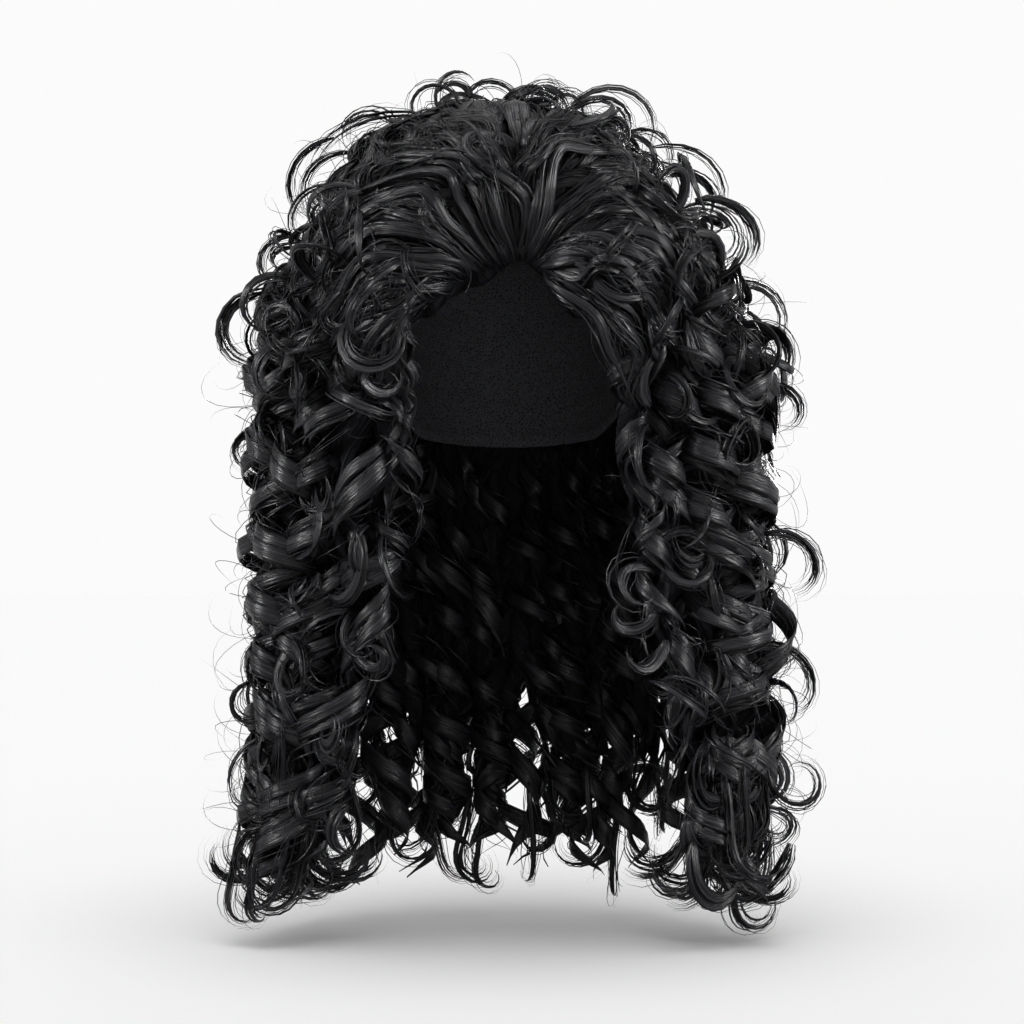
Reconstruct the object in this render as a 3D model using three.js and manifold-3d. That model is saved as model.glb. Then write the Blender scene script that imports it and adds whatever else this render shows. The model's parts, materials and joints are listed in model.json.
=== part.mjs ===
// Long curly black wig: a hollow stretch cap that carries a teased crown, a parted and swept
// fringe, and ringlets that hang beside the face and behind the neck.
// Millimetres, +Z up. The opening for the face looks towards -Y, and left and right are as seen
// from the front, so left is at -X. The origin is the inside of the cap's crown, where the top of
// the head sits.

import * as THREE from "three";
import { mergeVertices } from "three/addons/utils/BufferGeometryUtils.js";
import Module from "manifold-3d";

const wasm = await Module();
wasm.setup();

// Head that the cap is made for, as the half axes of an egg-shaped skull
const HEAD = { halfWidth: 76, halfDepth: 96, halfHeight: 110 };
const HEAD_FACETS = { round: 24, tall: 14 };

const CAP_WALL = 2;
const PIECE_GAP = 0.3;
const FAR = 600;

// Side view of the cap's edge, from the forehead hairline over the ear tab and the ear to the nape
const CAP_EDGE = [
  { y: -140, z: -36 },
  { y: -82, z: -45 },
  { y: -58, z: -70 },
  { y: -42, z: -108 },
  { y: -24, z: -104 },
  { y: 2, z: -86 },
  { y: 30, z: -112 },
  { y: 66, z: -146 },
  { y: 140, z: -160 },
];

// Outer form of the hair: one row for each level, with the reach to each side. Down to the ears it
// is the mass itself. Below them the ringlets hang on it, and the mass draws in behind them.
const OUTLINE = [
  { z: 45, left: 14, right: 12, front: 22, back: 12 },
  { z: 39, left: 40, right: 32, front: 50, back: 34 },
  { z: 28, left: 64, right: 52, front: 74, back: 60 },
  { z: 10, left: 88, right: 74, front: 98, back: 88 },
  { z: -14, left: 102, right: 95, front: 112, back: 110 },
  { z: -45, left: 116, right: 110, front: 116, back: 124 },
  { z: -80, left: 127, right: 125, front: 108, back: 130 },
  { z: -120, left: 136, right: 136, front: 96, back: 134 },
  { z: -165, left: 135, right: 137, front: 84, back: 131 },
  { z: -210, left: 133, right: 138, front: 74, back: 126 },
  { z: -260, left: 136, right: 140, front: 64, back: 121 },
  { z: -320, left: 134, right: 138, front: 57, back: 118 },
  { z: -386, left: 133, right: 133, front: 52, back: 110 },
];
const OUTLINE_SIDES = 32;
const OUTLINE_ROUNDNESS = 0.9;
const DRAW_IN = { depth: 30, from: -84, to: -150 };

// Room for the face, neck and shoulders below the cap: the half width beside the ears, the half
// width at the front edge of the hair, and the depth behind the ears
const HOLLOW = [
  { z: -112, side: 79, front: 59, back: 99 },
  { z: -150, side: 74, front: 60, back: 90 },
  { z: -195, side: 66, front: 55, back: 74 },
  { z: -235, side: 62, front: 54, back: 64 },
  { z: -262, side: 74, front: 68, back: 64 },
  { z: -292, side: 88, front: 84, back: 70 },
  { z: -420, side: 80, front: 76, back: 68 },
];
const HOLLOW_FRONT_EDGE = 72;
const HOLLOW_ARC_STEPS = 12;

// Front view of the opening for the face, from the left cheek over the parting to the right cheek
const FACE_ARCH = [
  { x: -58, z: -112 },
  { x: -53, z: -86 },
  { x: -38, z: -70 },
  { x: -12, z: -60 },
  { x: 10, z: -50 },
  { x: 28, z: -60 },
  { x: 46, z: -82 },
  { x: 59, z: -112 },
];
const FACE_ARCH_BACK = -46;

// Planes between the sections of hair
const PARTING_X = 8;
const FRINGE_BACK_Y = -46;
const CROWN_BASE_Z = -80;
const SIDE_BACK_Y = 46;

// Hanging ringlets: where they stand round the head, in degrees from the right ear (+X) towards the
// back, how low they hang, the radius of the coil, and where and which way it winds
const RINGLET = { pitch: 50, thick: 10, tip: 4, sides: 4, stepsPerTurn: 6 };
const RINGLET_ROOT = { z: -94, sink: 18, hangingSink: 4, opensOver: 58 };
const RINGLETS = {
  side_hair_right: [
    { angle: -53, bottom: -268, coil: 11, phase: 20, hand: 1 },
    { angle: -33, bottom: -400, coil: 14, phase: 350, hand: 1 },
    { angle: -14, bottom: -409, coil: 15, phase: 25, hand: 1 },
    { angle: 6, bottom: -404, coil: 14, phase: 0, hand: 1 },
  ],
  back_hair: [
    { angle: 29, bottom: -400, coil: 13, phase: 35, hand: 1 },
    { angle: 50, bottom: -408, coil: 13, phase: 5, hand: 1 },
    { angle: 70, bottom: -397, coil: 14, phase: 30, hand: 1 },
    { angle: 90, bottom: -409, coil: 14, phase: 0, hand: 1 },
    { angle: 110, bottom: -402, coil: 14, phase: 10, hand: -1 },
    { angle: 130, bottom: -408, coil: 13, phase: 340, hand: -1 },
    { angle: 151, bottom: -398, coil: 13, phase: 5, hand: -1 },
  ],
  side_hair_left: [
    { angle: 174, bottom: -409, coil: 14, phase: 20, hand: -1 },
    { angle: 194, bottom: -403, coil: 15, phase: 350, hand: -1 },
    { angle: 213, bottom: -409, coil: 14, phase: 15, hand: -1 },
    { angle: 233, bottom: -284, coil: 11, phase: 40, hand: -1 },
  ],
};

// Standing loops of the teased crown: rows of them round the head, with the level of the foot and
// the radius of the loop
const LOOP = { thick: 5.5, sides: 4, steps: 7, sweep: 250, rise: 0.35, sink: 4, lean: 38 };
const LOOP_ROWS = {
  crown_hair: [
    { z: 37, from: 20, to: 160, count: 3, radius: 11 },
    { z: 14, from: -6, to: 186, count: 4, radius: 14 },
    { z: -16, from: -6, to: 186, count: 5, radius: 16 },
    { z: -48, from: -6, to: 186, count: 6, radius: 18 },
  ],
  fringe_left: [
    { z: 22, from: -120, to: -120, count: 1, radius: 13 },
    { z: -20, from: -138, to: -138, count: 1, radius: 16 },
  ],
  fringe_right: [
    { z: 22, from: -54, to: -54, count: 1, radius: 13 },
    { z: -20, from: -42, to: -42, count: 1, radius: 16 },
  ],
};

// Waves of the fringe, as places on the outer form: where each springs from the hairline, the
// crest it rises to and the temple it falls to
const WAVE = { thick: 9, tip: 5, sides: 6, steps: 7, lift: 3 };
const WAVES = {
  fringe_left: [
    { rootX: -3, rootZ: -44, crestX: -36, crestZ: -22, endX: -94, endZ: -64 },
    { rootX: -14, rootZ: -52, crestX: -46, crestZ: -44, endX: -88, endZ: -72 },
    { rootX: -4, rootZ: -28, crestX: -40, crestZ: 4, endX: -90, endZ: -34 },
  ],
  fringe_right: [
    { rootX: 19, rootZ: -40, crestX: 54, crestZ: -10, endX: 94, endZ: -58 },
    { rootX: 26, rootZ: -52, crestX: 58, crestZ: -38, endX: 86, endZ: -70 },
    { rootX: 19, rootZ: -24, crestX: 46, crestZ: 8, endX: 86, endZ: -24 },
  ],
};

const HAIR_LOOK = { color: 0x141415, roughness: 0.42, metalness: 0 };
const CAP_LOOK = { color: 0x1b1b1d, roughness: 0.9, metalness: 0 };

const radians = THREE.MathUtils.degToRad;

// A stack of rings with the same number of points, as one closed skin
function loft(rings) {
  const sides = rings[0].length;
  const middle = (ring) => ring.reduce((sum, p) => sum.add(p), new THREE.Vector3()).divideScalar(sides);
  const points = [...rings.flat(), middle(rings[0]), middle(rings.at(-1))];
  const last = (rings.length - 1) * sides;
  const faces = [];
  for (let side = 0; side < sides; side++) {
    const next = (side + 1) % sides;
    for (let row = 0; row < last; row += sides) {
      faces.push(row + side, row + next, row + next + sides);
      faces.push(row + side, row + next + sides, row + side + sides);
    }
    faces.push(points.length - 2, next, side);
    faces.push(points.length - 1, last + side, last + next);
  }
  return new THREE.BufferGeometry().setFromPoints(points).setIndex(faces);
}

// A tapered lock of hair along a curve
function lock(curve, { sides, steps, thick, tip }) {
  const frames = curve.computeFrenetFrames(steps, false);
  const rings = [];
  for (let step = 0; step <= steps; step++) {
    const along = step / steps;
    const radius = THREE.MathUtils.lerp(thick, tip, along ** 2);
    const centre = curve.getPointAt(along);
    const ring = [];
    for (let side = 0; side < sides; side++) {
      const angle = (side / sides) * 2 * Math.PI;
      ring.push(
        centre
          .clone()
          .addScaledVector(frames.normals[step], radius * Math.cos(angle))
          .addScaledVector(frames.binormals[step], radius * Math.sin(angle)),
      );
    }
    rings.push(ring);
  }
  return loft(rings);
}

function solid(geometry) {
  const bare = new THREE.BufferGeometry().setAttribute("position", geometry.getAttribute("position"));
  bare.setIndex(geometry.index);
  const merged = mergeVertices(bare, 1e-4);
  return new wasm.Manifold(
    new wasm.Mesh({
      numProp: 3,
      vertProperties: merged.getAttribute("position").array,
      triVerts: new Uint32Array(merged.index.array),
    }),
  );
}

// The largest body of a solid, without the crumbs that a cut leaves
function mainBody(cut) {
  return cut.decompose().reduce((best, body) => (body.volume() > best.volume() ? body : best));
}

function meshOf(name, body, look) {
  const made = body.getMesh();
  const geometry = new THREE.BufferGeometry();
  geometry.setAttribute("position", new THREE.BufferAttribute(made.vertProperties, made.numProp));
  geometry.setIndex(new THREE.BufferAttribute(made.triVerts, 1));
  geometry.computeVertexNormals();
  const mesh = new THREE.Mesh(geometry, new THREE.MeshStandardMaterial(look));
  mesh.name = name;
  return mesh;
}

function block(low, high) {
  const size = new THREE.Vector3().subVectors(high, low);
  const box = new THREE.BoxGeometry(size.x, size.y, size.z);
  return solid(box.translate(low.x + size.x / 2, low.y + size.y / 2, low.z + size.z / 2));
}

// The skull grown by a margin, with its top that margin above the origin
function skull(margin) {
  const ball = new THREE.SphereGeometry(1, HEAD_FACETS.round, HEAD_FACETS.tall).rotateX(Math.PI / 2);
  ball.scale(HEAD.halfWidth + margin, HEAD.halfDepth + margin, HEAD.halfHeight + margin);
  return solid(ball.translate(0, 0, -HEAD.halfHeight));
}

// Everything below the cap's edge
function belowCapEdge() {
  const edge = CAP_EDGE.map(({ y, z }) => new THREE.Vector2(y, z));
  const side = new THREE.Shape();
  side.moveTo(edge[0].x, -FAR);
  side.lineTo(edge[0].x, edge[0].y);
  side.splineThru(edge.slice(1));
  side.lineTo(edge.at(-1).x, -FAR);
  const through = new THREE.ExtrudeGeometry(side, { depth: FAR, bevelEnabled: false, curveSegments: 3 });
  through.translate(0, 0, -FAR / 2).rotateX(Math.PI / 2).rotateZ(Math.PI / 2);
  return solid(through);
}

function wigCap() {
  return skull(CAP_WALL).subtract(skull(0)).subtract(belowCapEdge());
}

// The row of the outline at a level between its rows
function outlineAt(z) {
  const below = OUTLINE.findIndex((row) => row.z <= z);
  const [upper, lower] = below < 0 ? [OUTLINE.at(-1), OUTLINE.at(-1)] : OUTLINE.slice(below - 1, below + 1);
  const share = upper === lower ? 0 : (upper.z - z) / (upper.z - lower.z);
  const mix = (key) => THREE.MathUtils.lerp(upper[key], lower[key], share);
  return { z, left: mix("left"), right: mix("right"), front: mix("front"), back: mix("back") };
}

// A point on the outer form at an angle round the head, drawn in by a depth
function onOutline(row, angle, depth) {
  const squared = (v) => Math.sign(v) * Math.abs(v) ** OUTLINE_ROUNDNESS;
  const across = squared(Math.cos(angle));
  const along = squared(Math.sin(angle));
  const reachX = (across < 0 ? row.left : row.right) - depth;
  const reachY = (along < 0 ? row.front : row.back) - depth;
  return new THREE.Vector3(reachX * across, reachY * along, row.z);
}

function backingMass() {
  const rings = OUTLINE.toReversed().map((row) => {
    const depth = DRAW_IN.depth * THREE.MathUtils.smoothstep(-row.z, -DRAW_IN.from, -DRAW_IN.to);
    const ring = [];
    for (let side = 0; side < OUTLINE_SIDES; side++) {
      ring.push(onOutline(row, (side / OUTLINE_SIDES) * 2 * Math.PI, depth));
    }
    return ring;
  });
  return solid(loft(rings));
}

// One level of the room for the wearer: round behind, straight sides, open to the front
function hollowRing({ z, side, front, back }) {
  const ring = [new THREE.Vector3(front, -FAR / 2, z), new THREE.Vector3(front, -HOLLOW_FRONT_EDGE, z)];
  for (let step = 0; step <= HOLLOW_ARC_STEPS; step++) {
    const angle = (step / HOLLOW_ARC_STEPS) * Math.PI;
    ring.push(new THREE.Vector3(side * Math.cos(angle), back * Math.sin(angle), z));
  }
  ring.push(new THREE.Vector3(-front, -HOLLOW_FRONT_EDGE, z), new THREE.Vector3(-front, -FAR / 2, z));
  return ring;
}

function faceArch() {
  const front = new THREE.Shape();
  front.moveTo(FACE_ARCH[0].x, HOLLOW[1].z);
  front.lineTo(FACE_ARCH[0].x, FACE_ARCH[0].z);
  front.splineThru(FACE_ARCH.slice(1).map(({ x, z }) => new THREE.Vector2(x, z)));
  front.lineTo(FACE_ARCH.at(-1).x, HOLLOW[1].z);
  const depth = FAR / 2 + FACE_ARCH_BACK;
  const arch = new THREE.ExtrudeGeometry(front, { depth, bevelEnabled: false, curveSegments: 3 });
  return solid(arch.rotateX(Math.PI / 2).translate(0, FACE_ARCH_BACK, 0));
}

// Everything inside the hair that has to stay free for the wearer and the cap
function wearerRoom() {
  const lower = solid(loft(HOLLOW.toReversed().map(hollowRing)));
  return skull(CAP_WALL + PIECE_GAP).add(lower).add(faceArch());
}

// A ringlet comes out of the mass at its root, opens to its full coil and hangs free
class RingletCurve extends THREE.Curve {
  constructor({ angle, bottom, coil, phase, hand }) {
    super();
    const drop = RINGLET_ROOT.z - bottom;
    Object.assign(this, { angle: radians(angle), drop, coil, phase: radians(phase), hand });
  }
  getPoint(t, target = new THREE.Vector3()) {
    const fall = t * this.drop;
    const opened = THREE.MathUtils.smoothstep(fall, 0, RINGLET_ROOT.opensOver);
    const sink = THREE.MathUtils.lerp(RINGLET_ROOT.sink, RINGLET_ROOT.hangingSink, opened);
    const turn = this.phase + (this.hand * fall * 2 * Math.PI) / RINGLET.pitch;
    target.copy(onOutline(outlineAt(RINGLET_ROOT.z - fall), this.angle, sink));
    target.x += opened * this.coil * Math.cos(turn);
    target.y += opened * this.coil * Math.sin(turn);
    return target;
  }
}

function ringlet(row) {
  const turns = (RINGLET_ROOT.z - row.bottom) / RINGLET.pitch;
  const steps = Math.round(turns * RINGLET.stepsPerTurn);
  return solid(lock(new RingletCurve(row), { ...RINGLET, steps }));
}

// A loop stands on the crown: an open ring of hair whose foot is buried in the mass
class LoopCurve extends THREE.Curve {
  constructor(angle, z, radius, lean) {
    super();
    const foot = onOutline(outlineAt(z), angle, LOOP.sink);
    const out = foot.clone().sub(new THREE.Vector3(0, 0, -HEAD.halfHeight / 2)).normalize();
    const side = new THREE.Vector3(-Math.sin(angle), Math.cos(angle), 0).applyAxisAngle(out, lean);
    Object.assign(this, { foot, out, side, radius });
  }
  getPoint(t, target = new THREE.Vector3()) {
    const turn = radians((t - 0.5) * LOOP.sweep);
    return target
      .copy(this.foot)
      .addScaledVector(this.out, this.radius * (LOOP.rise + Math.cos(turn)))
      .addScaledVector(this.side, this.radius * Math.sin(turn));
  }
}

function loopRow({ z, from, to, count, radius }) {
  const loops = [];
  for (let index = 0; index < count; index++) {
    const angle = radians(THREE.MathUtils.lerp(from, to, index / Math.max(1, count - 1)));
    const lean = radians(index % 2 ? LOOP.lean : -LOOP.lean);
    loops.push(solid(lock(new LoopCurve(angle, z, radius, lean), { ...LOOP, tip: LOOP.thick })));
  }
  return loops;
}

// A place on the front of the outer form, in front view, lifted off the surface
function onFront(x, z, lift) {
  const row = outlineAt(z);
  const reach = x < 0 ? row.left : row.right;
  const across = Math.min(1, Math.abs(x) / reach) ** (1 / OUTLINE_ROUNDNESS);
  const along = Math.sqrt(1 - across ** 2) ** OUTLINE_ROUNDNESS;
  return new THREE.Vector3(x, -row.front * along - lift, z);
}

function wave({ rootX, rootZ, crestX, crestZ, endX, endZ }) {
  const curve = new THREE.CatmullRomCurve3([
    onFront(rootX, rootZ, -WAVE.thick),
    onFront(crestX, crestZ, WAVE.lift),
    onFront(endX, endZ, -WAVE.thick),
  ]);
  return solid(lock(curve, WAVE));
}

// The sections that the hair is sewn on in, with the low and high corners of each one's mass
const half = PIECE_GAP / 2;
const corner = (x, y, z) => new THREE.Vector3(x, y, z);
const SECTIONS = {
  crown_hair: {
    low: corner(-FAR, FRINGE_BACK_Y + half, CROWN_BASE_Z + half),
    high: corner(FAR, FAR, FAR),
  },
  fringe_left: {
    low: corner(-FAR, -FAR, CROWN_BASE_Z + half),
    high: corner(PARTING_X - half, FRINGE_BACK_Y - half, FAR),
  },
  fringe_right: {
    low: corner(PARTING_X + half, -FAR, CROWN_BASE_Z + half),
    high: corner(FAR, FRINGE_BACK_Y - half, FAR),
  },
  side_hair_left: {
    low: corner(-FAR, -FAR, -FAR),
    high: corner(0, SIDE_BACK_Y - half, CROWN_BASE_Z - half),
  },
  side_hair_right: {
    low: corner(0, -FAR, -FAR),
    high: corner(FAR, SIDE_BACK_Y - half, CROWN_BASE_Z - half),
  },
  back_hair: {
    low: corner(-FAR, SIDE_BACK_Y + half, -FAR),
    high: corner(FAR, FAR, CROWN_BASE_Z - half),
  },
};

// A section of hair: its share of the mass with its locks fused on, round the room for the wearer
function hairSection(name, mass, room) {
  const rows = (table) => table[name] ?? [];
  const locks = [
    ...rows(RINGLETS).map(ringlet),
    ...rows(LOOP_ROWS).flatMap(loopRow),
    ...rows(WAVES).map(wave),
  ];
  const share = mass.intersect(block(SECTIONS[name].low, SECTIONS[name].high));
  const grown = locks.reduce((sum, body) => sum.add(body), share);
  return meshOf(name, mainBody(grown.subtract(room)), HAIR_LOOK);
}

const wig = new THREE.Group();
wig.add(meshOf("wig_cap", mainBody(wigCap()), CAP_LOOK));
const mass = backingMass();
const room = wearerRoom();
Object.keys(SECTIONS).forEach((name) => wig.add(hairSection(name, mass, room)));

export default wig;
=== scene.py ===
# Long curly black wig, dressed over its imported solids. The scene is in metres. The tables and the
# functions that read them work in millimetres, in the same frame, with the wig's front towards -Y.
import json

import bmesh
import bpy
import numpy as np
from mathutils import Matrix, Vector

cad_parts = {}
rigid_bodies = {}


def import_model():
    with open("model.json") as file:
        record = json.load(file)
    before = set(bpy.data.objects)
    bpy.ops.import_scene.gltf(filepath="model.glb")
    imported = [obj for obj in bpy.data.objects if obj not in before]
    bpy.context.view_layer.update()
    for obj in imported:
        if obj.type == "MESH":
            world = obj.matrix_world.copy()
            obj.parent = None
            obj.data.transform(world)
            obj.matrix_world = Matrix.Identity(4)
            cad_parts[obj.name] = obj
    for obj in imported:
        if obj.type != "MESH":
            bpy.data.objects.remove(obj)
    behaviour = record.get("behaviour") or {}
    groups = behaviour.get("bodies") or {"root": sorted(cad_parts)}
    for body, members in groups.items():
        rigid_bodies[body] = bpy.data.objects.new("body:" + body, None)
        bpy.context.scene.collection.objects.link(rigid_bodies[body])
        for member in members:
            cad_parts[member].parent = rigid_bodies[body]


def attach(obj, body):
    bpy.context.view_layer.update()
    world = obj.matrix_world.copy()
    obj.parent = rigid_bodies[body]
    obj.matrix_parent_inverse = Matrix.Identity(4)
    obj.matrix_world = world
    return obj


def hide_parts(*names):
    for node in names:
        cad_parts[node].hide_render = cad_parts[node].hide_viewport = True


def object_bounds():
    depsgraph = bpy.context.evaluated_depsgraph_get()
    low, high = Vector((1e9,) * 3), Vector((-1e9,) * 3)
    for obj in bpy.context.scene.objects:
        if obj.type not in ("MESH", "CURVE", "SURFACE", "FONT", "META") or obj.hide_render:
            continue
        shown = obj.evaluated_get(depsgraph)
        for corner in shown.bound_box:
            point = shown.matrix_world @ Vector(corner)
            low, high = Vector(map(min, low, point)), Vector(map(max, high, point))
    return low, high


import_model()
cad_box = [list(corner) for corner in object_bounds()]
MM = 0.001


# Wig cap. A dome of black stretch net, cut to the hairline, up at the ear tabs and low at the nape.
# Weft rows, the machine-sewn bands that the hair hangs from, run round it inside, and an elastic
# hem binds its edge.
CAP_AXES = np.array([76.0, 96.0, 110.0])
CAP_EDGE_Y = [-140, -82, -58, -42, -24, 2, 30, 66, 140]
CAP_EDGE_Z = [-50, -55, -74, -108, -104, -86, -112, -146, -160]
RIM_POLARS = np.linspace(0.5, 2.7, 600)
CAP_ROUND = 84
CAP_ROWS = 40
ROWS_PER_WEFT = 4
NET_WALL = 1.2
WEFT_RISE = 1.1
MERGE_WITHIN = 0.3
HEM_RADIUS = 1.8
HEM_SIDES = 6


def on_cap(polar, angle, margin):
    """Places on the cap's dome, grown by a margin, at angles from its top and angles round it."""
    x = (CAP_AXES[0] + margin) * np.sin(polar) * np.cos(angle)
    y = (CAP_AXES[1] + margin) * np.sin(polar) * np.sin(angle)
    z = (CAP_AXES[2] + margin) * np.cos(polar) - CAP_AXES[2]
    return np.stack(np.broadcast_arrays(x, y, z), axis=-1)


def cap_rim(angle):
    """The angle from the cap's top at which it ends, at each angle round it."""
    places = on_cap(RIM_POLARS[None, :], angle[:, None], 0)
    below = places[..., 2] < np.interp(places[..., 1], CAP_EDGE_Y, CAP_EDGE_Z)
    return RIM_POLARS[below.argmax(axis=1)]


def linear(colour):
    """An sRGB hex colour as the linear colour that a shader socket takes."""
    shares = [int(colour[start : start + 2], 16) / 255 for start in (1, 3, 5)]
    return [s / 12.92 if s <= 0.04045 else ((s + 0.055) / 1.055) ** 2.4 for s in shares] + [1.0]


def add_node(owner, kind, settings, links):
    """Adds a node, or takes the one of that name, sets it and links other nodes' outputs to it."""
    node = owner.node_tree.nodes.get(kind) or owner.node_tree.nodes.new(kind)
    for name, value in settings.items():
        if isinstance(name, int) or name in node.inputs:
            node.inputs[name].default_value = value
        else:
            setattr(node, name, value)
    for name, output in links.items():
        owner.node_tree.links.new(output, node.inputs[name])
    return node


def unit(vectors):
    """Vectors of length one along the last axis."""
    return vectors / (np.linalg.norm(vectors, axis=-1, keepdims=True) + 1e-9)


def square_to(tangent, across):
    """Directions turned until they stand square to a line's tangents."""
    return unit(across - np.sum(across * tangent, axis=-1, keepdims=True) * tangent)


def tubes(paths, wide, thin, sides, across, lot):
    """Closed tubes along paths of (tube, point, xyz), flat where wide and thin differ.

    The grain is each vertex's place across and along its tube, shifted across by the tube's lot.
    The wig has thousands of tubes, so they are made in whole arrays, which operators can't do in time.
    """
    tangent = unit(np.gradient(paths, axis=1))
    across = square_to(tangent, across)
    through = np.cross(tangent, across)
    rounds = np.pi / 2 * (sides % 2) + np.arange(sides) * 2 * np.pi / sides
    off_across = wide[..., None] * np.cos(rounds)
    off_through = thin[..., None] * np.sin(rounds)
    ring = (
        paths[:, :, None]
        + off_across[..., None] * across[:, :, None]
        + off_through[..., None] * through[:, :, None]
    )
    count, points = paths.shape[:2]
    index = np.arange(count * points * sides).reshape(count, points, sides)
    near = index[:, :-1]
    far = index[:, 1:]
    walls = np.stack([near, np.roll(near, -1, 2), np.roll(far, -1, 2), far], axis=-1).reshape(-1, 4)
    ends = np.concatenate([index[:, 0, ::-1], index[:, -1]])
    steps = np.linalg.norm(np.diff(paths, axis=1, prepend=paths[:, :1]), axis=2)
    length = np.broadcast_to(np.cumsum(steps, axis=1)[..., None], off_across.shape)
    grain = np.stack([off_across + lot[:, None, None], length], axis=-1)
    return ring.reshape(-1, 3), walls, ends, grain.reshape(-1, 2)


def joined_mesh(name, bundles):
    """One mesh of many bundles of tubes, with their grain as its UV map."""
    starts = np.cumsum([0] + [len(bundle[0]) for bundle in bundles[:-1]])
    places = np.concatenate([bundle[0] for bundle in bundles])
    grain = np.concatenate([bundle[3] for bundle in bundles])
    faces = [part + start for start, bundle in zip(starts, bundles) for part in bundle[1:3]]
    sizes = np.concatenate([np.full(len(part), part.shape[1]) for part in faces])
    corners = np.concatenate([part.ravel() for part in faces])
    mesh = bpy.data.meshes.new(name)
    mesh.vertices.add(len(places))
    mesh.vertices.foreach_set("co", (places * MM).astype(np.float32).ravel())
    mesh.loops.add(len(corners))
    mesh.loops.foreach_set("vertex_index", corners.astype(np.int32))
    mesh.polygons.add(len(sizes))
    mesh.polygons.foreach_set("loop_start", (np.cumsum(sizes) - sizes).astype(np.int32))
    mesh.polygons.foreach_set("use_smooth", np.ones(len(sizes), bool))
    mesh.update(calc_edges=True)
    grain_map = mesh.uv_layers.new(name="grain")
    grain_map.data.foreach_set("uv", (grain[corners] * MM).astype(np.float32).ravel())
    return mesh


def sheet_mesh(name, sheet):
    """The mesh of a smooth sheet, with its seam and its pole merged and its faces outwards."""
    bmesh.ops.remove_doubles(sheet, verts=sheet.verts, dist=MERGE_WITHIN * MM)
    bmesh.ops.recalc_face_normals(sheet, faces=sheet.faces)
    for face in sheet.faces:
        face.smooth = True
    mesh = bpy.data.meshes.new(name)
    sheet.to_mesh(mesh)
    sheet.free()
    return mesh


def in_scene(name, data):
    """A new object in the scene, at its origin."""
    thing = bpy.data.objects.new(name, data)
    bpy.context.scene.collection.objects.link(thing)
    return thing


def dress(name, mesh, material, slot, *nodes):
    """Puts a finished mesh in the scene as a piece that stands for solids of the frame."""
    mesh.materials.append(material)
    piece = in_scene(name, mesh)
    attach(piece, "root")
    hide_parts(*nodes)
    return piece


def thicken(piece, wall):
    """Gives an open sheet a wall, inwards from its face."""
    modifier = piece.modifiers.new("wall", "SOLIDIFY")
    modifier.thickness = wall * MM
    modifier.offset = -1


# Knitted polyamide net: matt black yarn in small open cells, so it reads as a fine dark lattice.
# The real cells are under a millimetre across and are drawn at twice that so that they show. The
# yarn's edge is where it starts and ends, as a share of a cell.
NET_CELL = 1.8
NET_YARN_EDGE = (0.05, 0.3)
NET_RELIEF = 0.4
net_cloth = bpy.data.materials.new("knitted_polyamide_net")
net_cloth.use_nodes = True
net_place = add_node(net_cloth, "ShaderNodeTexCoord", {}, {})
net_cells = add_node(
    net_cloth,
    "ShaderNodeTexVoronoi",
    {"feature": "DISTANCE_TO_EDGE", "Scale": 1 / (NET_CELL * MM)},
    {"Vector": net_place.outputs["Object"]},
)
net_yarn = add_node(
    net_cloth,
    "ShaderNodeMapRange",
    {"From Min": NET_YARN_EDGE[0], "From Max": NET_YARN_EDGE[1], "To Min": 1.0, "To Max": 0.0},
    {"Value": net_cells.outputs["Distance"]},
)
net_colour = add_node(
    net_cloth,
    "ShaderNodeMix",
    {"data_type": "RGBA", 6: linear("#0b0b0c"), 7: linear("#2a2a2d")},
    {"Factor": net_yarn.outputs["Result"]},
)
net_bump = add_node(
    net_cloth,
    "ShaderNodeBump",
    {"Strength": 0.6, "Distance": NET_RELIEF * MM},
    {"Height": net_yarn.outputs["Result"]},
)
add_node(
    net_cloth,
    "Principled BSDF",
    {"Roughness": 0.85, "Specular IOR Level": 0.2},
    {"Base Color": net_colour.outputs[2], "Normal": net_bump.outputs["Normal"]},
)

net = bmesh.new()
bmesh.ops.create_grid(net, x_segments=CAP_ROUND, y_segments=CAP_ROWS, size=0.5)
net_angle = np.array([(corner.co.x + 0.5) * 2 * np.pi for corner in net.verts])
net_down = np.array([corner.co.y + 0.5 for corner in net.verts])
on_weft = np.round(net_down * CAP_ROWS) % ROWS_PER_WEFT == 0
net_margin = NET_WALL - WEFT_RISE * on_weft
for corner, place in zip(net.verts, on_cap(net_down * cap_rim(net_angle), net_angle, net_margin)):
    corner.co = place * MM
net_mesh = sheet_mesh("stretch_net_cap", net)
thicken(dress("stretch_net_cap", net_mesh, net_cloth, "cap", "wig_cap"), NET_WALL)

hem_angle = np.linspace(0, 2 * np.pi, CAP_ROUND + 1)
hem_line = on_cap(cap_rim(hem_angle), hem_angle, NET_WALL / 2)[None]
hem_round = np.full(hem_line.shape[:2], HEM_RADIUS)
hem_outward = hem_line * [1, 1, 0]
hem = tubes(hem_line, hem_round, hem_round, HEM_SIDES, hem_outward, np.zeros(1))
dress("elastic_hem", joined_mesh("elastic_hem", [hem]), net_cloth, "cap", "wig_cap")


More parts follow.
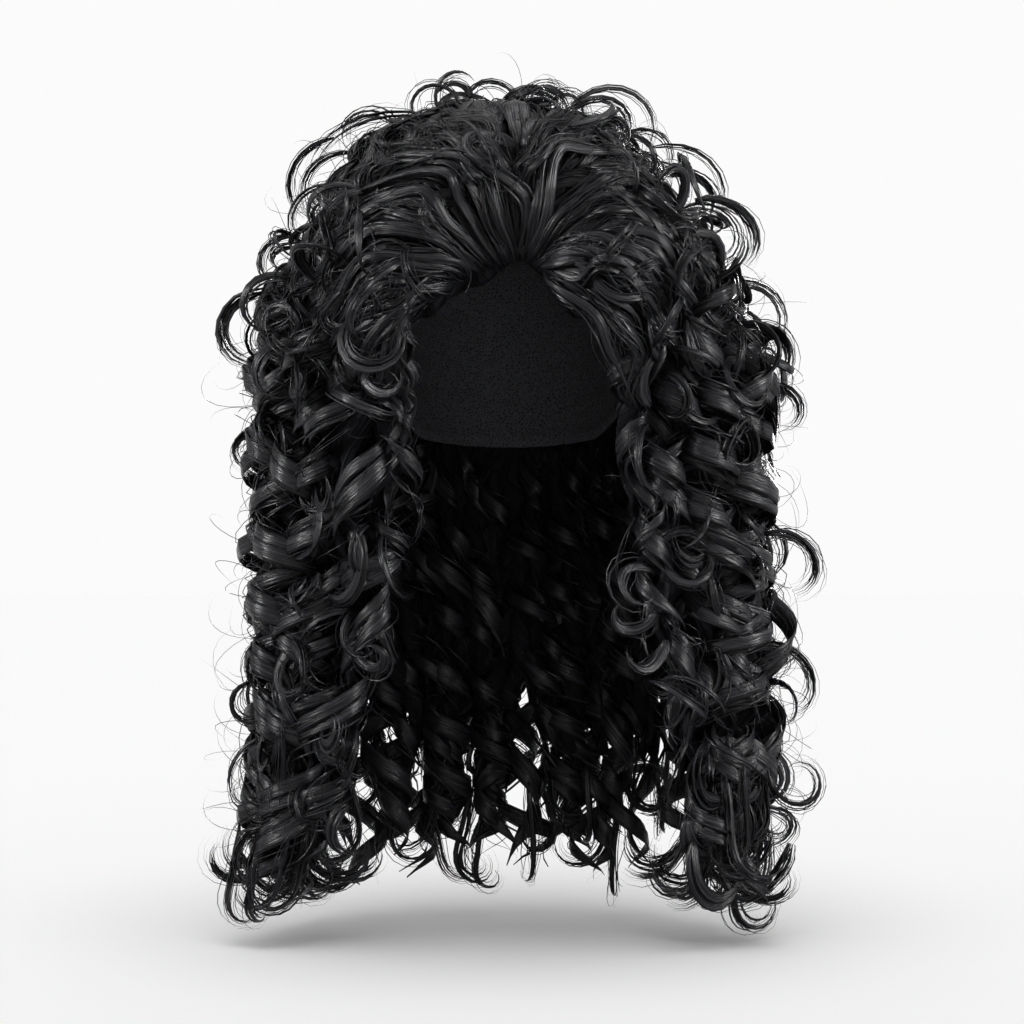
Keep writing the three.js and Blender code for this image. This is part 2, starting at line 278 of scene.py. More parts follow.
# Under hair. The short teased hair close to the cap and the hearts of the hanging ringlets, matted
# together into the body that fills the wig between its loose curls. It is made of the same curled
# fibre, sewn to the wefts row by row, and is drawn in a darker, almost unglossy copy of that fibre:
# painted shade for the depth between the curls.
CROWN_TOP_Z = 34
OUTLINE = np.array(
    [
        # height, then the reach to the left, right, front and back
        [CROWN_TOP_Z, 0, 0, 0, 0],
        [32, 22, 16, 22, 18],
        [25, 50, 38, 54, 48],
        [12, 78, 60, 82, 80],
        [-14, 98, 84, 104, 108],
        [-45, 112, 108, 114, 124],
        [-80, 127, 130, 108, 130],
        [-120, 138, 142, 96, 134],
        [-165, 136, 141, 84, 131],
        [-210, 136, 143, 74, 126],
        [-260, 140, 146, 64, 121],
        [-320, 141, 145, 57, 118],
        [-386, 143, 144, 52, 110],
        [-440, 140, 140, 48, 106],
    ]
)[::-1]
OUTLINE_ROUNDNESS = 0.9
HAIRLINE_X = [-58, -54, -39, -12, 9, 26, 46, 59]
HAIRLINE_Z = [-117, -95, -79, -69, -59, -69, -95, -117]
HAIRLINE_RAISED = 6
HAIRLINE_HALF_X = 80
HAIRLINE_BEFORE_Y = -40
CROWN_BASE_Z = -84
CROWN_GRID = (110, 24)
DOME_EASE = 1.6
UNDER_DEPTH = 9
UNDER_WALL = 5
UNDER_GIRTH = 700
UNDER_WAVE = 6
TUCKED_IN = 25
MAT_DEPTHS = (2.2, 1.1)
MAT_RIDGES = (41, 97)
MAT_WANDER = 4
CURTAIN_TOP = -76
CURTAIN_DROP = 215
CURTAIN_RAGGED = (20, 8)
CURTAIN_FIRST_ANGLE = -50
CURTAIN_SPAN = 280
CURTAIN_NARROWS = 18
NARROWS_AT = (-240, -300)
CURTAIN_GRID = (150, 20)
DRAWN_IN_DEPTH = 32
DRAWS_IN_AT = (-84, -150)
RINGLET_PITCH = 43
PITCH_VARIES = (0.8, 1.2)
RINGLET_SWAY = 5
SWAY_RUN = (35, 70)
RINGLET_SWELL = 0.35
SWELL_RUN = (20, 40)
RINGLET_BOB = 4
RINGLET_SLIP = 2.6
WANDER_RUN = 45
ROOT_SINK = 7
ROOT_OPENS_OVER = 50
END_CLOSES_OVER = 60
END_CLOSES_BY = 0.35
POINTS_PER_TURN = 12
WHOLE_TURN = 6.3
CAP_CLEARANCE = 9


def smooth(low, high, value):
    """A share that eases from 0 at low to 1 at high."""
    share = np.clip((value - low) / (high - low), 0, 1)
    return share * share * (3 - 2 * share)


def tapered(along, root, opens_by, closes_from, lost):
    """A share that opens from its root to full and closes again by what is lost at its tip."""
    opening = root + (1 - root) * smooth(0, opens_by, along)
    return opening * (1 - lost * smooth(closes_from, 1, along))


def reaches(height):
    """How far the hair's outer form reaches to the left, right, front and back at a height."""
    return [np.interp(height, OUTLINE[:, 0], OUTLINE[:, side]) for side in (1, 2, 3, 4)]


def on_outline(angle, height, depth):
    """Places on the hair's outer form, sunk by a depth, at degrees round it from +X."""
    left, right, front, back = reaches(height)
    east, north = np.cos(np.radians(angle)), np.sin(np.radians(angle))
    reach_x = np.maximum(np.where(east > 0, right, left) - depth, 0)
    reach_y = np.maximum(np.where(north > 0, back, front) - depth, 0)
    x = reach_x * np.sign(east) * np.abs(east) ** OUTLINE_ROUNDNESS
    y = reach_y * np.sign(north) * np.abs(north) ** OUTLINE_ROUNDNESS
    return np.stack(np.broadcast_arrays(x, y, height), axis=-1).astype(float)


def matted(angle, height):
    """Ridges of matted locks, a few millimetres deep, that wander down the under hair."""
    wander = MAT_WANDER * np.sin(height / 17 + np.radians(angle) * 3)
    coarse = np.sin(np.radians(angle) * MAT_RIDGES[0] + wander)
    fine = np.sin(np.radians(angle) * MAT_RIDGES[1] - 1.7 * wander + height / 9)
    return MAT_DEPTHS[0] * coarse + MAT_DEPTHS[1] * fine


def clear_of_cap(places):
    """Places that are pushed outwards, level, until they clear the cap and the hollow below it."""
    clear = CAP_AXES + CAP_CLEARANCE
    level = np.clip(1 - ((places[:, 2] + CAP_AXES[2]) / clear[2]) ** 2, 0, 1)
    reach = np.hypot(places[:, 0] / clear[0], places[:, 1] / clear[1])
    grow = np.maximum(1, np.sqrt(level) / np.maximum(reach, 1e-6))
    return places * np.stack([grow, grow, np.ones_like(grow)], axis=1)


def ringlet(angle, top, bottom, sunk, coil, phase, hand, rng, root=ROOT_SINK, detail=POINTS_PER_TURN):
    """The centre line of a hanging corkscrew and the direction that its ribbon is wide in.

    It starts at the root's depth and opens to the coil's radius. Its detail is points per turn.
    """
    drop = top - bottom
    pitch = RINGLET_PITCH * rng.uniform(*PITCH_VARIES)
    fall = np.linspace(0, drop, int(drop / pitch * detail) + 4)
    sway, swell, slip, bob = rng.uniform(0, WHOLE_TURN, 4)
    opened = smooth(0, ROOT_OPENS_OVER, fall)
    bearing = angle + RINGLET_SWAY * opened * np.sin(fall / rng.uniform(*SWAY_RUN) + sway)
    depth = root + (sunk - root + RINGLET_BOB * np.sin(fall / WANDER_RUN + bob)) * opened
    line = on_outline(bearing, top - fall, depth)
    slipped = RINGLET_SLIP * np.sin(fall / WANDER_RUN + slip)
    turn = np.radians(phase) + hand * (2 * np.pi * fall / pitch + slipped)
    closing = 1 - END_CLOSES_BY * smooth(drop - END_CLOSES_OVER, drop, fall)
    swelling = 1 + RINGLET_SWELL * np.sin(fall / rng.uniform(*SWELL_RUN) + swell)
    reach = coil * opened * closing * swelling
    outward, sideways = np.cos(np.radians(angle)), np.sin(np.radians(angle))
    line[:, 0] += reach * (np.cos(turn) * outward - np.sin(turn) * sideways)
    line[:, 1] += reach * (np.cos(turn) * sideways + np.sin(turn) * outward)
    return clear_of_cap(line), np.tile([0.0, 0.0, 1.0], (len(fall), 1))


# Modacrylic hair fibre, spun black and set in curls by heat: near-black with a soft gloss that
# runs along the fibres in grey streaks. A single fibre is 0.07 mm thick, far below what shows, so
# a streak here is a clump of them. The darker streaks between the clumps are painted shade for
# the gaps between them.
CLUMP_WIDTH = 0.65
CLUMP_LENGTH = 38
CLUMP_RELIEF = 0.6
STREAK_EDGE = (0.42, 0.63)


def fibre_material(name, dark, light, roughness, shine):
    """Hair fibre streaked along its grain from dark to light and from its first roughness to its last."""
    material = bpy.data.materials.new(name)
    material.use_nodes = True
    grain = add_node(material, "ShaderNodeUVMap", {}, {})
    run = add_node(
        material,
        "ShaderNodeMapping",
        {"Scale": (1 / (CLUMP_WIDTH * MM), 1 / (CLUMP_LENGTH * MM), 1)},
        {"Vector": grain.outputs["UV"]},
    )
    clumps = add_node(
        material,
        "ShaderNodeTexNoise",
        {"noise_dimensions": "2D", "Scale": 1.0, "Detail": 2.0},
        {"Vector": run.outputs["Vector"]},
    )
    streak = add_node(
        material,
        "ShaderNodeMapRange",
        {"From Min": STREAK_EDGE[0], "From Max": STREAK_EDGE[1]},
        {"Value": clumps.outputs["Fac"]},
    )
    # Colour from dark to light streaks: partly the tone of fibre clumps, partly painted shade for the gaps
    # between fibres in the dark streaks.
    colour = add_node(
        material,
        "ShaderNodeMix",
        {"data_type": "RGBA", 6: linear(dark), 7: linear(light)},
        {"Factor": streak.outputs["Result"]},
    )
    gloss = add_node(
        material,
        "ShaderNodeMapRange",
        {"To Min": roughness[0], "To Max": roughness[1]},
        {"Value": streak.outputs["Result"]},
    )
    bump = add_node(
        material,
        "ShaderNodeBump",
        {"Strength": 1.0, "Distance": CLUMP_RELIEF * MM},
        {"Height": clumps.outputs["Fac"]},
    )
    looks = {
        "Base Color": colour.outputs[2],
        "Roughness": gloss.outputs["Result"],
        "Normal": bump.outputs["Normal"],
    }
    add_node(material, "Principled BSDF", {"Specular IOR Level": shine}, looks)
    return material


hair_fibre = fibre_material("black_modacrylic_hair_fibre", "#020203", "#19191b", (0.36, 0.2), 0.11)
# The under hair's fibre is a darker, almost unglossy copy of the hair fibre: painted shade.
shaded_fibre = fibre_material("shaded_modacrylic_hair_fibre", "#030304", "#121214", (0.75, 0.5), 0.02)


def under_sheet(name, grid, place, *nodes):
    """A closed sheet of under hair. The place function maps shares across and down to a place."""
    sheet = bmesh.new()
    bmesh.ops.create_grid(sheet, x_segments=grid[0], y_segments=grid[1], size=0.5, calc_uvs=True)
    across = np.array([corner.co.x + 0.5 for corner in sheet.verts])
    down = np.array([0.5 - corner.co.y for corner in sheet.verts])
    places = place(across, down)
    waves = UNDER_WAVE * np.sin(places[:, 2] / UNDER_WAVE + 40 * across)
    grain_places = np.stack([across * UNDER_GIRTH + waves, places[:, 2]], axis=1) * MM
    for corner, spot in zip(sheet.verts, places):
        corner.co = spot * MM
    grain = sheet.loops.layers.uv.verify()
    for face in sheet.faces:
        for loop in face.loops:
            loop[grain].uv = grain_places[loop.vert.index]
    # The under hair takes the darker copy of the fibre, painted shade for the depth between the curls.
    thicken(dress(name, sheet_mesh(name, sheet), shaded_fibre, "hair", *nodes), UNDER_WALL)


def crown_under_hair(across, down):
    """The dome of under hair, down to its base and, in front, to the hairline, where it tucks in."""
    angle = across * 360
    base_line = on_outline(angle, np.full_like(angle, CROWN_BASE_Z), UNDER_DEPTH)
    in_front = (base_line[:, 1] < HAIRLINE_BEFORE_Y) & (np.abs(base_line[:, 0]) < HAIRLINE_HALF_X)
    hairline = np.interp(base_line[:, 0], HAIRLINE_X, HAIRLINE_Z) + HAIRLINE_RAISED
    base = np.where(in_front, np.maximum(hairline, CROWN_BASE_Z), CROWN_BASE_Z)
    height = CROWN_TOP_Z - (CROWN_TOP_Z - base) * down**DOME_EASE
    depth = UNDER_DEPTH + matted(angle, height) * smooth(0, 0.2, down)
    tucked = TUCKED_IN * smooth(0.58, 0.95, down) * smooth(-10, -60, base_line[:, 1])
    return on_outline(angle, height - UNDER_DEPTH / 2, depth + tucked)


def hanging_under_hair(across, down):
    """The curtain of under hair at the sides and back, which draws in behind the ringlets."""
    torn = np.sin(across * 71) * np.sin(across * 173 + 1)
    ragged = CURTAIN_RAGGED[0] * torn + CURTAIN_RAGGED[1] * np.sin(across * 411)
    height = CURTAIN_TOP - (CURTAIN_DROP + ragged) * down
    narrowing = CURTAIN_NARROWS * smooth(*NARROWS_AT, height)
    angle = (CURTAIN_FIRST_ANGLE + narrowing) + across * (CURTAIN_SPAN - 2 * narrowing)
    depth = UNDER_DEPTH + (DRAWN_IN_DEPTH - UNDER_DEPTH) * smooth(*DRAWS_IN_AT, height)
    return on_outline(angle, height, depth + matted(angle, height))


fringes = ("fringe_left", "fringe_right")
hanging = ("side_hair_left", "side_hair_right", "back_hair")
under_sheet("crown_under_hair", CROWN_GRID, crown_under_hair, "crown_hair", *fringes)
under_sheet("hanging_under_hair", CURTAIN_GRID, hanging_under_hair, *hanging)

# The hearts of the ringlets get shorter towards the front. Columns of the layers: first and last
# angle, how many hearts, where they start, how deep they lie and how far they coil.
HEART_RADIUS = 8
HEART_SIDES = 5
HEART_FLATNESS = 0.7
HEART_TAPER = (0.5, 0.15, 0.72, 0.97)
HEART_DETAIL = 6
HEART_ANGLES = [-60, -43, -33, 213, 223, 240]
HEART_BOTTOMS = [-222, -296, -352, -352, -304, -222]
HEART_END_VARIES = (-8, 18)
HEART_LAYERS = [(-60, 240, 38, -80, 21, 5), (-32, 212, 28, -150, 37, 3)]
GRAIN_LOTS = 900
heart_draws = np.random.default_rng(9)
hearts = []
for first, last, count, top, sunk, coil in HEART_LAYERS:
    for angle in np.linspace(first, last, count):
        bottom = np.interp(angle, HEART_ANGLES, HEART_BOTTOMS) + heart_draws.uniform(*HEART_END_VARIES)
        phase, hand = heart_draws.uniform(0, 360), heart_draws.choice([-1, 1])
        line, across = ringlet(
            angle, top, bottom, sunk, coil, phase, hand, heart_draws, sunk, HEART_DETAIL
        )
        wide = HEART_RADIUS * tapered(np.linspace(0, 1, len(line)), *HEART_TAPER)[None]
        lot = heart_draws.uniform(0, GRAIN_LOTS, 1)
        hearts.append(tubes(line[None], wide, HEART_FLATNESS * wide, HEART_SIDES, across[None], lot))
# The hearts take the darker copy of the fibre too, painted shade between the ringlets.
dress("ringlet_hearts", joined_mesh("ringlet_hearts", hearts), shaded_fibre, "hair", *hanging)


# Back hair. Long ringlets, wound wet on rods and heat set, that hang from the weft rows at the back
# of the cap to the wig's full length. Loose curls stand out between them, softer ringlets line the
# curtain inside, and the ends part and roll up.
RIBBON_SHARE = (0.26, 0.16)
STRIP_HALF = (0.9, 0.4)
STRAND_HALF = (0.26, 0.26)
STRAND_SIDES = 3
# A lock's ribbons, strips and strands. Columns: how far they spread across and through the lock's
# room, how many sides they have, how far they waver and their share of the lock's fan.
LOCK_PARTS = [
    ((0.75, 1.0), 6, 0.06, 0.3),
    ((1.0, 1.0), STRAND_SIDES, 0.12, 1.0),
    ((1.3, 1.6), STRAND_SIDES, 0.2, 1.5),
]
FIBRE_RUNS = (0.92, 1.0)
FIBRE_SIZES = (0.7, 1.3)
FIBRE_ROOT = (0.4, 0.12)
FIBRE_TIP_LOSS = 0.93
BUNCHED = (0.35, 0.2, 0.7, 0.35)
FEWEST_WAVERS = 4
WAVERS_PER_POINT = 0.9
TIP_LENGTH = 46
COMBED_FLAT = 0.3
TURNED_ANY_WAY = 1.6
CURL_RISE = 0.7
CURL_OPENS = 0.6
LEAD_PER_TURN = 90
CURL_TILT = 0.25
CURL_LEAN = (-0.4, 0.5)
CURL_SWEEP = (190, 310)
CURL_ROOM = (4.5, 3)
LYING_WIDENS = 6
LYING_FLATTENS = 0.7
LYING_COUNTS = (2, 1, 3)
STANDING_COUNTS = (1, 1, 5)
LOOSE_FAN = (0, 3)
DOWN = np.array([0, 0, -1.0])
HANGING_LYING = [0, 0.5, 0.8, 0.9, 0.95]
HANGING_RADIUS = (8, 18)
HANGING_TILT = (-0.2, 0.3)
HANGING_STRAYS = 0.6
HANGING_SUNK = (4, 10)
TIP_LEAD = (15, 48)
TIP_RADIUS = (8, 14)
TIP_SWEEP = (150, 330)
TIP_STRAYS = (0.2, 0.25)
TIP_LEANS = 0.6
TIP_ROOM = (5.5, 4.5)
TIP_COUNTS = (1, 2, 7)
TIP_REACH = 12
low_limit, high_limit = (np.array(corner) / MM for corner in cad_box)


def fibres(line, across, room, count, half, sides, waver, fan, roll, rng):
    """Fibres along a lock's centre line, spread over its room across and through, with loose tips.

    Each is turned about its own length by up to the roll, in radians.
    """
    points = len(line)
    along = np.linspace(0, 1, points)
    tangent = unit(np.gradient(line, axis=0))
    across = square_to(tangent, across)
    through = np.cross(tangent, across)
    side, rank = rng.uniform(-0.5, 0.5, (2, count, 1))
    run = along * rng.uniform(*FIBRE_RUNS, (count, 1))
    before = np.minimum((run * (points - 1)).astype(int), points - 2)
    share = (run * (points - 1) - before)[..., None]
    wavers = rng.uniform(FEWEST_WAVERS, WAVERS_PER_POINT * points, (count, 1))
    swing = waver * np.sin(run * wavers + rng.uniform(0, WHOLE_TURN, (count, 1)))
    bunched = tapered(run, *BUNCHED)
    off_across = side * room[0] * bunched + swing * room[0] * smooth(0, 0.4, run)
    off_through = rank * (room[1] * bunched + fan * run) + swing * room[1]
    line_at, across_at, through_at = (
        curve[before] * (1 - share) + curve[np.minimum(before + 1, points - 1)] * share
        for curve in (line, across, through)
    )
    paths = line_at + off_across[..., None] * across_at + off_through[..., None] * through_at
    length = np.linalg.norm(np.diff(line, axis=0), axis=1).sum()
    thins_from = max(0.5, 1 - TIP_LENGTH / length)
    size = tapered(along, *FIBRE_ROOT, thins_from, FIBRE_TIP_LOSS) * rng.uniform(*FIBRE_SIZES, (count, 1))
    rolled = rng.uniform(-roll, roll, (count, 1, 1))
    facing = np.cos(rolled) * across_at + np.sin(rolled) * through_at
    lot = rng.uniform(0, GRAIN_LOTS, count)
    return tubes(paths, half[0] * size, half[1] * size, sides, facing, lot)


def lock(line, across, room, counts, rng, fan=0.0, roll=COMBED_FLAT):
    """A lock of hair: broad ribbons of combed fibre, narrow strips at their edges and strands about.

    The counts are of ribbons, strips and strands. The fan is how far they part at their tips.
    """
    room = np.array(room, float)
    halves = (room * RIBBON_SHARE, STRIP_HALF, STRAND_HALF)
    return [
        fibres(line, across, room * spread, count, half, sides, waver, fans * fan, roll, rng)
        for count, half, (spread, sides, waver, fans) in zip(counts, halves, LOCK_PARTS)
    ]


def curl(root, heading, axle, radius, sweep, lead=0.0):
    """The centre line of a lock that leaves its root along a heading and rolls up round an axle.

    It runs straight over a lead, then opens wider than its mean radius, closes up to the tip and
    rises along the axle like a corkscrew.
    """
    rolled = np.radians(sweep) * radius
    points = int((sweep / 360 + lead / LEAD_PER_TURN) * POINTS_PER_TURN) + 5
    along = np.linspace(0, 1, points)
    share = np.maximum(along * (lead + rolled) - lead, 0) / rolled
    turn = np.radians(sweep) * (CURL_OPENS * share + (1 - CURL_OPENS) * share**2)
    axle = unit(np.asarray(axle, float))
    heading = unit(heading - np.dot(heading, axle) * axle)
    ways = np.cos(turn)[:, None] * heading + np.sin(turn)[:, None] * np.cross(axle, heading)
    step = (lead + rolled) / (points - 1)
    line = root + np.concatenate([[[0, 0, 0]], np.cumsum((ways[1:] + ways[:-1]) / 2 * step, axis=0)])
    rise = CURL_RISE * radius * along[:, None] * axle
    return line + rise, np.tile(axle, (points, 1))


def loose_curl(root, outward, falls, lying, radius, rng):
    """A loop of curl that leaves the hair outwards, arcs over the way it falls and comes back in.

    A lying curl turns in the plane of the surface, flat on it, instead of standing on it.
    """
    falls = unit(falls - np.dot(falls, outward) * outward)
    standing = np.cross(outward, falls)
    axle = standing * (1 - lying) + outward * lying * rng.choice([-1, 1]) + rng.normal(0, CURL_TILT, 3)
    heading = outward * (1 - lying) + falls * rng.uniform(*CURL_LEAN)
    line, across = curl(root, heading, axle, radius, rng.uniform(*CURL_SWEEP))
    flat = np.cross(across, unit(np.gradient(line, axis=0)))
    across = across * np.cos(lying * np.pi / 2) + flat * np.sin(lying * np.pi / 2)
    room = (CURL_ROOM[0] + LYING_WIDENS * lying, CURL_ROOM[1])
    counts = LYING_COUNTS if lying > 0.3 else STANDING_COUNTS
    roll = TURNED_ANY_WAY * (1 - LYING_FLATTENS * lying)
    return lock(line, across, room, counts, rng, rng.uniform(*LOOSE_FAN), roll)


def hanging_curls(count, angles, heights, rng):
    """Loose curls at random places on the hanging hair."""
    bundles = []
    for _ in range(count):
        angle = rng.uniform(*angles)
        height = rng.uniform(*heights)
        east, north = np.cos(np.radians(angle)), np.sin(np.radians(angle))
        outward = np.array([east, north, rng.uniform(*HANGING_TILT)])
        sideways = np.array([-north, east, 0])
        lying = rng.choice(HANGING_LYING)
        sunk = HANGING_SUNK[0] + HANGING_SUNK[1] * (1 - lying) * smooth(*DRAWS_IN_AT, height)
        falls = DOWN + sideways * rng.normal(0, HANGING_STRAYS)
        radius = rng.uniform(*HANGING_RADIUS)
        bundles += loose_curl(on_outline(angle, height, sunk), unit(outward), falls, lying, radius, rng)
    return bundles


def kept_near(line, reach):
    """A line drawn in to its root, so that it hardly leaves the CAD box by more than a reach."""
    past = np.maximum(line - high_limit, low_limit - line).max()
    return line[0] + (line - line[0]) * min(1, reach / max(past, 1e-6))


def hanging_tips(count, ringlets, parts_at, rolls_out, rng):
    """Ends that part from the ringlets, at a share down them, and roll up, outwards or sideways."""
    bundles = []
    for number in range(count):
        line = ringlets[number % len(ringlets)]
        root = line[int(len(line) * rng.uniform(*parts_at))]
        outward = unit(root * [1, 1, 0])
        sideways = np.array([-outward[1], outward[0], 0])
        heading = DOWN + outward * rng.normal(0, TIP_STRAYS[0]) + sideways * rng.normal(0, TIP_STRAYS[1])
        rolls, leans = (sideways, outward) if rolls_out else (outward, sideways)
        axle = rolls * rng.choice([-1, 1]) + leans * rng.normal(0, TIP_LEANS)
        lead, radius, sweep = (rng.uniform(*bounds) for bounds in (TIP_LEAD, TIP_RADIUS, TIP_SWEEP))
        line, across = curl(root, heading, axle, radius, sweep, lead)
        line = kept_near(line, TIP_REACH)
        fan = rng.uniform(*LOOSE_FAN)
        bundles += lock(line, across, TIP_ROOM, TIP_COUNTS, rng, fan, TURNED_ANY_WAY)
    return bundles


def hanging_ringlet(row, layers, top, proud, rng):
    """The locks of one ringlet of a table, layer by layer, and their centre lines."""
    angle, bottom, coil, phase, hand = row
    locks, lines = [], []
    for deeper, turned, lifted, wound, counts in layers:
        sunk = coil + deeper - proud
        line, across = ringlet(
            angle + turned, top, bottom + lifted, sunk, coil, phase + wound, hand, rng
        )
        locks += lock(line, across, RINGLET_ROOM, counts, rng)
        lines.append(line)
    return locks, lines


RINGLET_TOP = -32
RINGLET_ROOM = (17, 5)
# Columns: angle, bottom, coil radius, phase, hand.
BACK_RINGLETS = [
    (17, -403, 13, 130, 1),
    (32, -400, 13, 35, 1),
    (51, -408, 13, 5, 1),
    (70, -397, 14, 260, 1),
    (90, -409, 14, 80, 1),
    (110, -402, 14, 10, -1),
    (129, -408, 13, 340, -1),
    (148, -398, 13, 200, -1),
    (163, -404, 13, 70, -1),
]
# Columns: how far a layer lies below its coil's radius, what it adds to the ringlet's angle, bottom
# and phase, and its counts.
BACK_LAYERS = [(4, 0, 0, 0, (2, 1, 4)), (9, 9, 9, 144, (2, 1, 2))]
LINING_ANGLES = np.linspace(50, 130, 14)
LINING_TOP = -150
LINING_ENDS = (-408, -385)
LINING_DEPTHS = (38, 46)
LINING_COIL = 10
LINING_PHASE = 31
LINING_DETAIL = 10
LINING_ROOM = (20, 4)
LINING_COUNTS = (1, 1, 2)
BACK_CURLS = 74
BACK_CURL_ANGLES = (12, 168)
BACK_CURL_HEIGHTS = (-365, -45)
BACK_TIPS_PART = (0.7, 0.82)
back_draws = np.random.default_rng(11)
back_locks, back_lines = [], []
for row in BACK_RINGLETS:
    locks, lines = hanging_ringlet(row, BACK_LAYERS, RINGLET_TOP, 0, back_draws)
    back_locks += locks
    back_lines += lines
for angle in LINING_ANGLES:
    bottom = back_draws.uniform(*LINING_ENDS)
    sunk = back_draws.uniform(*LINING_DEPTHS)
    phase = angle * LINING_PHASE
    line, across = ringlet(
        angle, LINING_TOP, bottom, sunk, LINING_COIL, phase, 1, back_draws, sunk, LINING_DETAIL
    )
    back_locks += lock(line, across, LINING_ROOM, LINING_COUNTS, back_draws)
    back_lines.append(line)
back_locks += hanging_curls(BACK_CURLS, BACK_CURL_ANGLES, BACK_CURL_HEIGHTS, back_draws)
back_locks += hanging_tips(len(back_lines), back_lines, BACK_TIPS_PART, False, back_draws)
dress("back_ringlets", joined_mesh("back_ringlets", back_locks), hair_fibre, "hair", "back_hair")


# Side hair. Ringlets like those of the back, sewn in from the temple edges of the cap to behind its
# ear tabs. They frame the front opening, and the rows nearest to it are shorter. Their ends roll up
# together, and a few thin tendrils stray inwards.
SIDES_STAND_PROUD = 8
FRONT_TOP_DROP = 52
LONG_RINGLET_END = -380
SIDE_RINGLETS = {
    "side_ringlets_left": [
        (174, -409, 14, 20, -1),
        (184, -398, 14, 200, 1),
        (194, -403, 15, 350, -1),
        (204, -392, 14, 120, 1),
        (213, -409, 14, 15, -1),
        (223, -330, 12, 190, -1),
        (233, -284, 11, 40, -1),
        (242, -232, 10, 120, 1),
    ],
    "side_ringlets_right": [
        (-62, -220, 10, 60, -1),
        (-53, -268, 11, 20, 1),
        (-43, -322, 12, 170, 1),
        (-33, -400, 14, 350, 1),
        (-24, -390, 14, 130, -1),
        (-14, -409, 15, 25, 1),
        (-4, -396, 14, 210, -1),
        (6, -404, 14, 0, 1),
    ],
}
SIDE_LAYERS = [(4, 0, 0, 0, (2, 1, 5)), (11, 5, 12.5, 100, (2, 1, 2))]
# Locks that break the side outline in front view. Columns: x, z, start angle from +X up, radius,
# sweep, the way it turns, 1 for clockwise, and how full it is, which sets its ribbons and strips.
SIDE_LOOPS = {
    "side_ringlets_left": [
        (-134, -68, 205, 28, 170, -1, 8),
        (-131, -146, 170, 14, 190, -1, 6),
        (-139, -282, 190, 9, 320, -1, 2),
        (-132, -313, 195, 19, 150, -1, 3),
        (-132, -360, 195, 15, 180, -1, 4),
        (-148, -374, 285, 34, 110, -1, 7),
        (-136, -362, 280, 22, 190, -1, 6),
        (-112, -366, 270, 18, 230, -1, 5),
        (-100, -362, 255, 16, 240, 1, 4),
    ],
    "side_ringlets_right": [
        (128, -92, 40, 16, 210, 1, 5),
        (130, -126, 40, 14, 230, 1, 4),
        (138, -202, 18, 18, 200, 1, 7),
        (141, -262, 12, 19, 190, 1, 6),
        (138, -352, -10, 20, 170, 1, 5),
        (155, -372, 262, 34, 110, 1, 7),
        (142, -364, 262, 22, 190, 1, 6),
        (116, -368, 270, 18, 220, 1, 5),
        (102, -364, 280, 16, 240, -1, 4),
    ],
}
# More of them, which fill out the ends, with the same columns.
END_LOOPS = {
    "side_ringlets_left": [
        (-100, -372, 272, 15, 220, -1, 6),
        (-116, -376, 270, 16, 220, -1, 6),
        (-128, -374, 268, 16, 230, 1, 6),
    ],
    "side_ringlets_right": [
        (99, -366, 268, 16, 220, 1, 6),
        (97, -370, 270, 20, 140, 1, 5),
        (108, -376, 272, 16, 230, 1, 6),
        (120, -378, 268, 17, 220, -1, 6),
        (112, -374, 262, 18, 200, -1, 6),
    ],
}
LOOP_TILT = 0.3
LOOP_DEPTHS = (-25, 15)
LOOP_STRANDS = 8
LOOP_FAN = 3
# Stray tendrils at the front opening. Columns: how many strips, then x and z places along each from
# its root.
TENDRILS = {
    "side_ringlets_left": [
        (1, [(-57, -100), (-60, -122), (-58, -138), (-57, -146), (-61, -152)]),
        (2, [(-64, -170), (-54, -179), (-47, -187), (-46, -195), (-49, -205), (-57, -210)]),
        (4, [(-82, -240), (-80, -258), (-73, -276), (-82, -296), (-101, -305), (-112, -308)]),
        (1, [(-76, -262), (-72, -282), (-90, -306), (-96, -318), (-84, -338), (-80, -358), (-87, -373)]),
    ],
    "side_ringlets_right": [
        (1, [(62, -130), (58, -150), (60, -172), (66, -186)]),
        (2, [(70, -190), (62, -204), (58, -220), (64, -236), (74, -244)]),
        (2, [(98, -262), (101, -284), (97, -310), (91, -326), (86, -342), (92, -350)]),
    ],
}
TENDRIL_LIFT = -10
TENDRIL_LEAN = 0.04
TENDRIL_ROOT_SUNK = 12
TENDRIL_STRANDS = 4
SIDE_CURLS = 80
SIDE_CURL_HEIGHTS = (-372, -55)
TIPS_PER_RINGLET = 3
SIDE_TIPS_PART = (0.77, 0.89)


def on_front(x, z, lift):
    """Places on the front of the hair's outer form, raised by a lift, at given x and z."""
    left, right, front, _ = reaches(z)
    east = np.clip(np.abs(x) / np.where(x > 0, right, left), 0, 0.985) ** (1 / OUTLINE_ROUNDNESS)
    y = -(front + lift) * np.sqrt(1 - east**2) ** OUTLINE_ROUNDNESS
    return np.stack([x, y, z], axis=-1)


def through_stations(stations, points):
    """A smooth line through stations, by cubic blending of each four in turn."""
    first, last = 2 * stations[0] - stations[1], 2 * stations[-1] - stations[-2]
    padded = np.concatenate([[first], stations, [last]])
    place = np.linspace(0, len(stations) - 1, points)
    start = np.minimum(place.astype(int), len(stations) - 2)
    t = (place - start)[:, None]
    a, b, c, d = (padded[start + offset] for offset in range(4))
    return 0.5 * (2 * b + (c - a) * t + (2 * a - 5 * b + 4 * c - d) * t**2 + (3 * b - a - 3 * c + d) * t**3)


